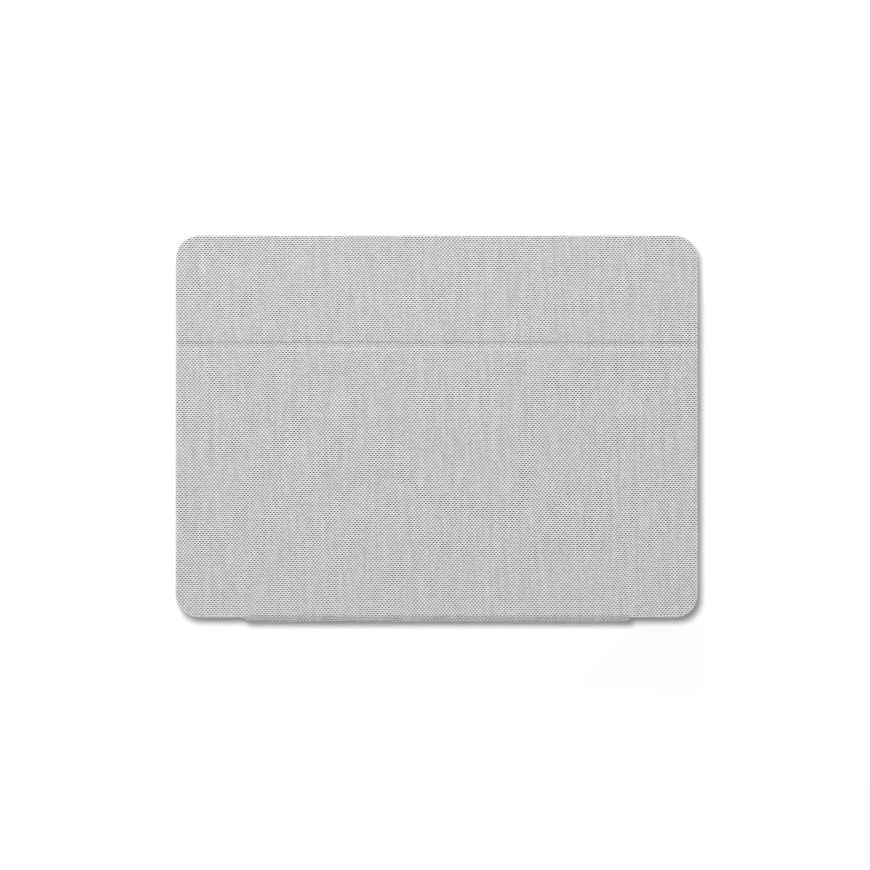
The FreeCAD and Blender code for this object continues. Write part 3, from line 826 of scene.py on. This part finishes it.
@dataclass
class BackCover:
    """The back: one woven skin over the top panel, the crease and the kickstand, with its lining."""

    half_width: float = 125.0
    front: float = -92.3
    rear: float = 90.7
    corner: float = 11.2
    corner_steps: int = 9
    top: float = 19.6
    panel_bottom: float = 17.0
    kick_bottom: float = 17.3
    margin: float = 1.5
    edge: float = 0.4
    cloth: float = 0.5
    crease: float = -39.9
    crease_gap: float = 2.4
    crease_flat: float = 0.95
    crease_depth: float = 0.46
    crease_hem: float = 18.1
    crease_press: float = -39.45
    crease_rows: int = 48
    panel_rows: int = 6
    kick_rows: int = 14
    row_columns: int = 18
    end_column: float = 0.4
    lip_column: float = 0.1
    lip_half: float = 92.4
    lip_slants: Pair = (0.4, 1.6)
    lip_slope: tuple[Pair, ...] = ((0.5, 0.07), (1.0, 0.26), (1.5, 0.54), (2.0, 0.86), (2.5, 1.19),
                                   (3.32, 1.72), (3.4, 1.8))
    lining_top: float = 17.7
    lining_inset: float = 0.6
    lining_corner: float = 0.4
    lining_edge: float = 0.12

    def rows(self) -> list[tuple[float, float, float, float]]:
        """Lays out the skin's rows from front to rear, closer together in the corners and the crease.

        Returns:
            For each row its place, half its width, and the way out at its right end.
        """
        arc = self.corner - self.margin
        front, rear = self.front + self.corner, self.rear - self.corner
        turns = [(math.sin(turn), math.cos(turn)) for turn in quarter(self.corner_steps)]
        halves = [self.half_width - self.corner + arc * out for out, _ in turns]
        near, far = self.crease - 2 * self.crease_gap, self.crease + 2 * self.crease_gap
        straight = steps(front, near, self.panel_rows)[1:-1] + steps(near, far, self.crease_rows)
        straight += steps(far, rear, self.kick_rows)[1:-1]
        listed = [(front - arc * along, half, out, -along) for (out, along), half in zip(turns, halves)]
        listed += [(y, self.half_width - self.margin, 1.0, 0.0) for y in straight]
        ends = [(rear + arc * along, half, out, along) for (out, along), half in zip(turns, halves)]
        return listed + ends[::-1]

    def columns(self) -> list[float]:
        """Lays out the skin's columns, with some close to a row's ends and the lip's.

        Returns:
            Places from left to right, as shares of half a row.
        """
        half = self.half_width - self.corner
        marks = set(steps(-half, half, self.row_columns))
        for side, slant in zip((-1, 1), self.lip_slants):
            foot = self.lip_half - slant
            close = (half - self.end_column, self.lip_half + self.lip_column, self.lip_half,
                     self.lip_half - slant / 2, foot, foot - self.lip_column)
            marks |= {side * mark for mark in close}
        return [mark / half for mark in sorted(marks)]

    def lip_at(self, x: float) -> float:
        """Tells how far the lip stands out at a place along the rear edge, from 0 to 1."""
        slant = self.lip_slants[1] if x > 0 else self.lip_slants[0]
        return min(max((self.lip_half - abs(x)) / slant, 0.0), 1.0)

    def hem(self, y: float) -> float:
        """Gives the level where the skin's side ends, which is higher across the crease.

        Args:
            y: Place along the case.

        Returns:
            The level in millimetres.
        """
        off = abs(y - self.crease)
        bottom = self.panel_bottom if y < self.crease else self.kick_bottom
        share = min(max((off - self.crease_flat) / (self.crease_gap - self.crease_flat), 0.0), 1.0)
        return self.crease_hem + (bottom - self.crease_hem) * share * share * (3 - 2 * share)

    def edge_points(self, start: Vector, out: Vector, lip: float) -> list[tuple[Vector, Vector]]:
        """Follows the cloth over the panel's edge to its hem.

        Args:
            start: Where the flat part ends.
            out: The way out there.
            lip: How much the edge slopes out over the spine's fold, from 0 to 1.

        Returns:
            Points in place, each with its place on the flat map.
        """
        found = []
        run = 0.0
        last = (0.0, 0.0)
        for turn, slope in zip(quarter(len(self.lip_slope) - 1), self.lip_slope):
            plain = (self.margin - self.edge * (1 - math.sin(turn)), self.edge * (1 - math.cos(turn)))
            here = (plain[0] + lip * (slope[0] - plain[0]), plain[1] + lip * (slope[1] - plain[1]))
            run += math.dist(here, last)
            last = here
            spot = start + here[0] * out
            found.append((Vector((*spot, self.top - here[1])), start + run * out))
        hem = self.hem(spot.y)
        found.append((Vector((*spot, hem)), start + (run + self.top - last[1] - hem) * out))
        return found

    def skin(self) -> bpy.types.Mesh:
        """Builds the skin's outer face: flat top, edge and short side.

        Returns:
            One open surface with a flat map.
        """
        draft = Draft()
        rows, columns = self.rows(), self.columns()
        grid = []
        for y, half, _, _ in rows:
            places = [(share * half, y) for share in columns]
            grid.append([draft.point((*place, self.top), Vector(place)) for place in places])
        for near, far in zip(grid, grid[1:]):
            draft.join(near, far, closed=False)
        sides = list(zip(grid, rows))[1:-1]
        walk = [(vertex, Vector((0.0, -1.0)), 0.0) for vertex in grid[0]]
        walk += [(line[-1], Vector((out_x, out_y)), 0.0) for line, (_, _, out_x, out_y) in sides]
        walk += [(vertex, Vector((0.0, 1.0)), self.lip_at(vertex.co.x / MM)) for vertex in grid[-1][::-1]]
        walk += [(line[0], Vector((-out_x, out_y)), 0.0) for line, (_, _, out_x, out_y) in sides[::-1]]
        edges = [self.edge_points(vertex.co.xy / MM, out, lip) for vertex, out, lip in walk]
        ring = [vertex for vertex, _, _ in walk]
        for level in zip(*edges):
            # Painted highlight on the turned edges: the dark yarn spots fade to half there, and stay in full
            # where the lip stands out over the spine.
            following = [draft.point(spot, mapped, 1.0 - lip)
                         for (spot, mapped), (_, _, lip) in zip(level, walk)]
            draft.join(ring, following)
            ring = following
        return draft.mesh("back_cover_cloth")

    def crease_rule(self) -> ShapeRule:
        """Makes the rule that presses the crease into a flat skin.

        Returns:
            The rule.
        """
        rule = ShapeRule("pressed_crease", CLOTH)
        bench = rule.bench
        middle = rule.size("Crease Place", self.crease_press)
        gap = rule.size("Half Gap", self.crease_gap)
        floor = rule.size("Half Floor", self.crease_flat)
        depth = rule.size("Depth", self.crease_depth)
        _, y, _ = bench.parts(bench.add("GeometryNodeInputPosition").outputs[0])
        off = bench.math("ABSOLUTE", bench.math("SUBTRACT", y, middle))
        pressed = bench.range(off, floor, gap, bench.scaled(depth, -1.0), 0.0)
        given = {"Geometry": rule.drawn, "Offset": bench.point(0.0, 0.0, pressed)}
        rule.close(bench.add("GeometryNodeSetPosition", given).outputs["Geometry"])
        return rule

    def build(self) -> None:
        """Builds the skin and the kickstand's lining, and sets the lining on the kickstand."""
        skin = self.crease_rule().grow("back_cover_cloth", self.skin(), self.cloth)
        turn_in = 2 * (self.top - self.panel_bottom)
        declare(skin, ("top_panel_cloth", "crease_cloth", "kick_cloth"),
                (2 * self.half_width + turn_in, self.rear - self.front + turn_in), Held.STRETCHED)
        kick_front = self.crease + self.crease_gap
        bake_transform(skin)
        radius = self.corner - self.lining_inset
        outline = Outline(self.half_width - self.lining_inset, kick_front, self.rear - self.lining_inset,
                          (self.lining_corner, self.lining_corner, radius, radius))
        lay_sheet("kick_lining_sheet", outline.plate(self.kick_bottom, self.lining_top, self.lining_edge),
                  outline, LINING, Body.KICK, "kick_lining", Held.LAID)


@dataclass
class SpineStrip:
    """The narrow cloth strip round the rear edge, which folds at its top and its bottom."""

    length: float = 184.0
    outer: float = 92.3
    bend: float = 3.0
    bend_steps: int = 14
    cloth: float = 0.5
    table: float = 0.0
    tray_top: float = 17.0
    tuck: float = 12.0
    lining_face: float = 90.4
    lining_thickness: float = 0.4
    lining_inset: float = 1.0
    lining_gap: float = 0.2
    lining_corner: float = 0.4
    lining_edge: float = 0.12

    def section(self, upper: bool) -> list[Pair]:
        """Draws half of the strip's section, from the tray or from the middle of the spine.

        Args:
            upper: Whether it is the half that is joined to the tray.

        Returns:
            Points (y, z) along the outer face.
        """
        middle = (self.table + self.tray_top) / 2
        inner = self.outer - self.bend
        turns = [(self.bend * math.sin(turn), self.bend * math.cos(turn))
                 for turn in quarter(self.bend_steps)]
        if upper:
            high = self.tray_top - self.bend
            line = [(inner - self.tuck, self.tray_top), (inner - self.tuck / 2, self.tray_top)]
            line += [(inner + out, high + up) for out, up in turns]
            return line + [(self.outer, (high + middle) / 2), (self.outer, middle)]
        low = self.table + self.bend
        line = [(self.outer, middle), (self.outer, (low + middle) / 2)]
        return line + [(inner + out, low - down) for down, out in turns]

    def sweep_rule(self, name: str) -> ShapeRule:
        """Makes the rule that draws a section out along the spine, with its flat map.

        Args:
            name: The strip's name.

        Returns:
            The rule.
        """
        rule = ShapeRule(name + "_sweep", CLOTH)
        bench = rule.bench
        reach = bench.point(rule.size("Strip Length", self.length), 0.0, 0.0)
        given = {"Mesh": rule.drawn, "Offset": reach, "Offset Scale": 1.0}
        draw = bench.add("GeometryNodeExtrudeMesh", given, mode="EDGES")
        along = bench.add("GeometryNodeInputNamedAttribute", {"Name": "along"}, data_type="FLOAT")
        x, _, _ = bench.parts(bench.add("GeometryNodeInputPosition").outputs[0])
        given = {"Geometry": draw.outputs["Mesh"], "Name": WEAVE_MAP}
        write = bench.add("GeometryNodeStoreNamedAttribute", given, data_type="FLOAT2", domain="CORNER")
        bench.fill(write, {"Value": bench.point(x, along.outputs["Attribute"], 0.0)})
        rule.close(write.outputs["Geometry"])
        return rule

    def sweep(self, name: str, section: list[Pair], before: float) -> tuple[bpy.types.Object, float]:
        """Draws a section out along the spine as a strip of cloth.

        Args:
            name: The strip's name.
            section: Points (y, z) in millimetres.
            before: How much cloth comes before it, so that the weave runs on.

        Returns:
            The strip and its length along the section, in millimetres.
        """
        line = bpy.data.meshes.new(name)
        points = [(-self.length / 2 * MM, y * MM, z * MM) for y, z in section]
        line.from_pydata(points, [(place, place + 1) for place in range(len(points) - 1)], [])
        along = line.attributes.new("along", "FLOAT", "POINT")
        total = 0.0
        for place, point in enumerate(section):
            if place:
                total += math.dist(point, section[place - 1])
            along.data[place].value = (before + total) * MM
        return self.sweep_rule(name).grow(name, line, self.cloth), total

    def build(self) -> None:
        """Builds both halves of the strip and the spine's lining."""
        low, high = self.table + self.bend, self.tray_top - self.bend
        upper, run = self.sweep("spine_cloth_upper", self.section(True), 0.0)
        declare(upper, ("upper_fold_cloth", "spine_cloth"), (self.length, run), Held.STRETCHED)
        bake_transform(upper)
        lower, run = self.sweep("spine_cloth_lower", self.section(False), run)
        declare(lower, ("lower_fold_cloth",), (self.length, run), Held.STRETCHED)
        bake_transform(lower)
        outline = Outline(self.length / 2 - self.lining_inset, low + self.lining_gap, high - self.lining_gap,
                          (self.lining_corner,) * 4)
        draft = outline.plate(-self.lining_face, self.lining_thickness - self.lining_face, self.lining_edge)
        upright = Matrix.Rotation(math.pi / 2, 4, "X")
        bmesh.ops.transform(draft.shape, matrix=upright, verts=draft.shape.verts)
        lay_sheet("spine_lining_sheet", draft, outline, LINING, Body.SPINE, "spine_lining", Held.LAID)


@dataclass
class KeyboardBase:
    """The cloth under the keyboard's shell."""

    half_width: float = 124.5
    front: float = -91.8
    rear: float = 89.3
    corner: float = 10.7
    corner_steps: int = 12
    cloth: float = 0.6
    edge: float = 0.3

    def build(self) -> None:
        """Builds the cloth that the case lies on."""
        outline = Outline(self.half_width, self.front, self.rear, (self.corner,) * 4, self.corner_steps)
        lay_sheet("base_cover_cloth", outline.plate(0.0, self.cloth, self.edge), outline, CLOTH, Body.BASE,
                  "base_cloth", Held.STRETCHED)


@dataclass
class TabletTray:
    """The lining that the tablet's back lies on."""

    half_width: float = 120.3
    front: float = -87.6
    rear: float = 82.5
    corner: float = 6.5
    low: float = 15.5
    high: float = 15.8
    edge: float = 0.1

    def build(self) -> None:
        """Builds the lining of the bay."""
        outline = Outline(self.half_width, self.front, self.rear, (self.corner,) * 4)
        lay_sheet("tray_lining_sheet", outline.plate(self.low, self.high, self.edge), outline, LINING,
                  Body.HOLDER, "tray_lining", Held.LAID)


class Arrow(Enum):
    """Which way an arrow legend points, as a turn in degrees from straight up."""

    UP = 0
    LEFT = 90
    DOWN = 180
    RIGHT = 270


@dataclass(frozen=True)
class Key:
    """One key's width and what is printed on it. The upper key of a stack shares its place."""

    text: str = ""
    units: float = 1.0
    upper: str = ""
    body: str = ""
    arrow: Optional[Arrow] = None
    rise: float = 0.0
    shared: bool = False


@dataclass(frozen=True)
class Spot:
    """A key in its place, by the middle of its cap."""

    key: Key
    row: str
    x: float
    y: float

    @property
    def body(self) -> str:
        """Names the body that the key is, or is one of."""
        return self.key.body or self.row


def plain_keys(texts: str, uppers: str = "") -> list[Key]:
    """Makes a run of equal keys with one character each, and a shifted one where it is printed."""
    return [Key(text, upper=upper.strip()) for text, upper in zip(texts, uppers.ljust(len(texts)))]


@dataclass
class KeyField:
    """Where the keys are, row by row from the rear."""

    unit: float = 17.0
    left: float = -119.0
    rear: float = 80.0
    pitch: float = 17.0
    function_pitch: float = 11.0
    stack: float = 4.0

    def plans(self) -> dict[str, list[Key]]:
        """Lists the keys of each row from left to right.

        Returns:
            The keys by row, from the rear.
        """
        function = [Key("esc")] + [Key("F%d" % number) for number in range(1, 13)] + [Key("del")]
        number = plain_keys("`1234567890-=", "~!@#$%^&*()_+") + [Key("back", body="backspace_key")]
        top = [Key("tab", 1.5, body="tab_key")] + plain_keys("QWERTYUIOP[", "          {")
        top.append(Key("]", 1.5, "}", "bracket_key"))
        home = [Key("caps", 1.75, body="caps_key")] + plain_keys("ASDFGHJKL;", "         :")
        home.append(Key("enter", 2.25, body="enter_key"))
        bottom = [Key("shift", 2.25, body="left_shift_key")] + plain_keys("ZXCVBNM,./", "       <>?")
        bottom.append(Key("shift", 1.75, body="right_shift_key"))
        modifiers = [Key("ctrl"), Key("fn"), Key("menu"), Key("alt", 1.25, body="left_alt_key"),
                     Key("", 5.5, body="space_bar"), Key("alt", 1.25, body="right_alt_key"),
                     Key(body="left_arrow_key", arrow=Arrow.LEFT),
                     Key(body="up_arrow_key", arrow=Arrow.UP, rise=self.stack, shared=True),
                     Key(body="down_arrow_key", arrow=Arrow.DOWN, rise=-self.stack),
                     Key(body="right_arrow_key", arrow=Arrow.RIGHT)]
        return {"function_row": function, "number_row": number, "top_letter_row": top,
                "home_row": home, "bottom_letter_row": bottom, "modifier_keys": modifiers}

    def spots(self) -> list[Spot]:
        """Works out where every key is.

        Returns:
            The keys in their places.
        """
        found = []
        row_rear = self.rear
        for row, keys in self.plans().items():
            depth = self.function_pitch if row == "function_row" else self.pitch
            x = self.left
            for key in keys:
                width = key.units * self.unit
                found.append(Spot(key, row, x + width / 2, row_rear - depth / 2 + key.rise))
                x += 0.0 if key.shared else width
            row_rear -= depth
        return found


@dataclass
class KeyDomes:
    """The rubber domes under the keys."""

    field: KeyField
    foot_radius: float = 2.1
    head_radius: float = 1.2
    sheet_top: float = 2.2
    height: float = 3.9
    travel: float = 1.3
    long_units: float = 4.0
    cap_gap: float = 2.6
    facets: int = 24
    side_rings: int = 4

    def rule(self) -> ShapeRule:
        """Makes the rule that stands a dome on every point.

        Returns:
            The rule.
        """
        rule = ShapeRule("rubber_dome", DOME)
        sizes = {"Radius Bottom": rule.size("Foot Radius", self.foot_radius),
                 "Radius Top": rule.size("Head Radius", self.head_radius),
                 "Depth": rule.size("Height", self.height)}
        rule.repeat("GeometryNodeMeshCone", {"Vertices": self.facets, "Side Segments": self.side_rings,
                                             "Fill Segments": 1, **sizes})
        return rule

    def build(self) -> None:
        """Stands the domes, as one piece for each key body, and sets them all on the keyboard base."""
        feet: dict[str, list[Vector]] = {}
        for spot in self.field.spots():
            spread = 0.0
            if spot.key.units > self.long_units:
                spread = (spot.key.units * self.field.unit - self.cap_gap) / 3
            for step in (-1, 0, 1) if spread else (0,):
                foot = Vector((spot.x + step * spread, spot.y, self.sheet_top)) * MM
                feet.setdefault(spot.body, []).append(foot)
        rule = self.rule()
        for body, places in feet.items():
            points = bpy.data.meshes.new("domes_" + body)
            points.from_pydata(places, [], [])
            domes = rule.grow("domes_" + body, points)
            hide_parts("rubber_domes")
            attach(domes, Body.BASE.value)
            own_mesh(domes)
            report(domes)


@dataclass
class Legends:
    """The printing on the keys: letters, digits, plain words and arrows, with the homing bars."""

    field: KeyField
    cap_top: float = 7.0
    ink: float = 0.015
    letter: float = 4.6
    shifted: float = 3.5
    word: float = 3.1
    small: float = 2.8
    arrow: Pair = (1.1, 0.88)
    line: float = 2.9
    curve_steps: int = 3
    homing_keys: str = "FJ"
    homing_place: float = 5.2
    homing_size: tuple[float, float, float] = (1.7, 0.32, 0.22)
    homing_facets: int = 20

    def lettering(self, text: str, size: float) -> bpy.types.Mesh:
        """Sets a text as a thin solid, middled on the origin.

        Args:
            text: What it says.
            size: The type's size in millimetres.

        Returns:
            The solid.
        """
        curve = bpy.data.curves.new("legend", "FONT")
        curve.body = text
        curve.size = size * MM
        curve.extrude = self.ink * MM
        curve.resolution_u = self.curve_steps
        curve.align_x = "CENTER"
        curve.align_y = "CENTER"
        holder = link("legend", curve)
        mesh = plain_mesh(holder)
        bpy.data.objects.remove(holder)
        bpy.data.curves.remove(curve)
        return mesh

    def pointer(self, way: Arrow) -> bpy.types.Mesh:
        """Draws an arrow head as a thin solid, middled on the origin.

        Args:
            way: Which way it points.

        Returns:
            The solid.
        """
        half, tall = self.arrow
        corners = ((-half, -tall), (half, -tall), (0.0, tall))
        points = [Vector((x, y, level)) * MM for level in (-self.ink, self.ink) for x, y in corners]
        mesh = bpy.data.meshes.new("legend")
        mesh.from_pydata(points, [], [(2, 1, 0), (3, 4, 5), (0, 1, 4, 3), (1, 2, 5, 4), (2, 0, 3, 5)])
        mesh.transform(Matrix.Rotation(math.radians(way.value), 4, "Z"))
        return mesh

    def prints(self, spot: Spot) -> list[tuple[bpy.types.Mesh, float]]:
        """Makes what is printed on one key.

        Args:
            spot: The key in its place.

        Returns:
            Solids, each with how far it is from the cap's middle.
        """
        key = spot.key
        if key.arrow:
            return [(self.pointer(key.arrow), 0.0)]
        if key.upper:
            return [(self.lettering(key.upper, self.shifted), self.line),
                    (self.lettering(key.text, self.shifted), -self.line)]
        if not key.text:
            return []
        size = self.small if spot.row == "function_row" else self.word
        return [(self.lettering(key.text, self.letter if len(key.text) == 1 else size), 0.0)]

    def homing_bars(self) -> None:
        """Raises the small bars that the index fingers find, with a rule that repeats one bar."""
        places = [Vector((spot.x, spot.y - self.homing_place, self.cap_top)) * MM
                  for spot in self.field.spots() if spot.key.text and spot.key.text in self.homing_keys]
        points = bpy.data.meshes.new("homing_bars")
        points.from_pydata(places, [], [])
        rule = ShapeRule("homing_bar", KEYS)
        names = ("Half Length", "Half Width", "Height")
        sizes = [rule.size(name, size) for name, size in zip(names, self.homing_size)]
        ball = {"Segments": self.homing_facets, "Rings": self.homing_facets // 2, "Radius": 1.0}
        rule.repeat("GeometryNodeMeshUVSphere", ball, Scale=rule.bench.point(*sizes))
        bars = rule.grow("homing_bars", points)
        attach(bars, "home_row")
        report(bars)

    def build(self) -> None:
        """Prints every key, as one piece for each body, and raises the homing bars."""
        made: dict[str, bmesh.types.BMesh] = {}
        for spot in self.field.spots():
            for mesh, up in self.prints(spot):
                level = self.cap_top + self.ink / 3
                mesh.transform(Matrix.Translation(Vector((spot.x, spot.y + up, level)) * MM))
                made.setdefault(spot.body, bmesh.new()).from_mesh(mesh)
                bpy.data.meshes.remove(mesh)
        for body, shape in made.items():
            piece = place_piece("legends_" + body, to_mesh("legends_" + body, shape), INK)
            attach(piece, body)
            report(piece)
        self.homing_bars()


@dataclass(frozen=True)
class Lamp:
    """A soft round lamp, known by its share of the light that falls on the case."""

    name: str
    share: float
    size: float
    lean: float
    turn: float
    distance: float

    def hang(self, level: float) -> None:
        """Hangs the lamp at its lean, turned on the case.

        Args:
            level: The light on the case from all lamps and the fill together.
        """
        lean, turn = math.radians(self.lean), math.radians(self.turn)
        light = bpy.data.lights.new(self.name, "AREA")
        light.shape = "DISK"
        light.size = self.size
        light.energy = self.share * level * (math.pi * self.distance) ** 2 / math.cos(lean)
        way = Vector((math.sin(lean) * math.sin(turn), -math.sin(lean) * math.cos(turn), math.cos(lean)))
        holder = link(self.name, light)
        holder.location = way * self.distance
        holder.rotation_euler = way.to_track_quat("Z", "Y").to_euler()


@dataclass
class Studio:
    """White floor and backdrop, two soft lamps, even fill, and the camera straight above the case."""

    floor_half: float = 6.0
    floor_drop: float = 0.1
    floor_tone: float = 0.95
    floor_lift: float = 0.12
    far_lift: float = 0.8
    far_range: Pair = (0.25, 1.6)
    level: float = 1.1
    fill: float = 0.17
    lamps: tuple[Lamp, ...] = (Lamp("top_lamp", 0.705, 0.33, 8.3, 35.0, 1.6),
                               Lamp("side_lamp", 0.125, 0.65, 70.0, 8.0, 1.3))
    lens: float = 180.0
    sensor: float = 36.0
    view_width: float = 416.4
    view_depth: float = 50.0
    middle: Pair = (0.81, 3.35)
    cover_top: float = 19.6

    @staticmethod
    def seen_directly(bench: NodeBench) -> Socket:
        """Tells the rays that show the backdrop itself from those that light the case.

        Args:
            bench: The tree of the floor or the backdrop.

        Returns:
            1 for rays that show it, or else 0.
        """
        rays = bench.add("ShaderNodeLightPath").outputs
        shown = bench.math("MAXIMUM", rays["Is Camera Ray"], rays["Is Glossy Ray"])
        return bench.math("MAXIMUM", shown, rays["Is Transmission Ray"])

    def floor(self) -> None:
        """Lays the floor, which is white where no shadow falls."""
        mesh = bpy.data.meshes.new("studio_floor")
        half, level = self.floor_half, -self.floor_drop * MM
        corners = [(-half, -half, level), (half, -half, level), (half, half, level), (-half, half, level)]
        mesh.from_pydata(corners, [], [(0, 1, 2, 3)])
        paper = bpy.data.materials.new("studio_paper")
        paper.use_nodes = True
        nodes = paper.node_tree.nodes
        bench = NodeBench(paper.node_tree)
        matt = nodes["Principled BSDF"]
        bench.fill(matt, {"Base Color": (self.floor_tone, self.floor_tone, self.floor_tone, 1.0),
                          "Roughness": 1.0, "Specular IOR Level": 0.0})
        place = bench.add("ShaderNodeTexCoord").outputs["Object"]
        far = bench.add("ShaderNodeVectorMath", {0: place}, operation="LENGTH").outputs["Value"]
        lift = bench.range(far, *self.far_range, self.floor_lift, self.far_lift)
        glow = bench.add("ShaderNodeEmission",
                         {"Strength": bench.math("MULTIPLY", self.seen_directly(bench), lift)})
        both = bench.add("ShaderNodeAddShader", {0: matt.outputs[0], 1: glow.outputs[0]})
        bench.fill(nodes["Material Output"], {"Surface": both.outputs[0]})
        mesh.materials.append(paper)
        link("studio_floor", mesh)

    def light(self) -> None:
        """Sets the even fill and hangs the lamps."""
        world = bpy.data.worlds.new("studio")
        world.use_nodes = True
        bpy.context.scene.world = world
        bench = NodeBench(world.node_tree)
        even = self.fill * self.level
        shown = bench.scaled(self.seen_directly(bench), 1.0 - even, even)
        bench.fill(world.node_tree.nodes["Background"], {"Color": (1.0, 1.0, 1.0, 1.0), "Strength": shown})
        for lamp in self.lamps:
            lamp.hang(self.level)

    def camera(self) -> None:
        """Hangs the camera over the case, with the case's front at the top of the picture."""
        camera = bpy.data.cameras.new("photo_camera")
        camera.lens = self.lens
        camera.sensor_width = self.sensor
        camera.clip_end = self.view_depth
        holder = link("photo_camera", camera)
        height = self.cover_top + self.view_width * self.lens / self.sensor
        holder.location = (self.middle[0] * MM, self.middle[1] * MM, height * MM)
        holder.rotation_euler = (0.0, 0.0, math.pi)
        bpy.context.scene.camera = holder

    def build(self) -> None:
        """Sets up the floor, the light and the camera."""
        bpy.context.scene.view_settings.view_transform = "Standard"
        self.floor()
        self.light()
        self.camera()


def dress_solids() -> None:
    """Gives every solid that stays in view its finish."""
    for finish, nodes in NODE_FINISHES.items():
        for node in nodes:
            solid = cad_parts[node]
            solid.data.materials.clear()
            solid.data.materials.append(finish.material())
            LOG.info("%s: %s", node, finish.name)


def main() -> None:
    """Builds the studio and the case's pieces in order."""
    logging.basicConfig(level=logging.INFO, format="%(name)s %(message)s")
    Studio().build()
    BackCover().build()
    SpineStrip().build()
    KeyboardBase().build()
    TabletTray().build()
    keys = KeyField()
    KeyDomes(keys).build()
    Legends(keys).build()
    dress_solids()


if __name__ == "__main__":
    main()
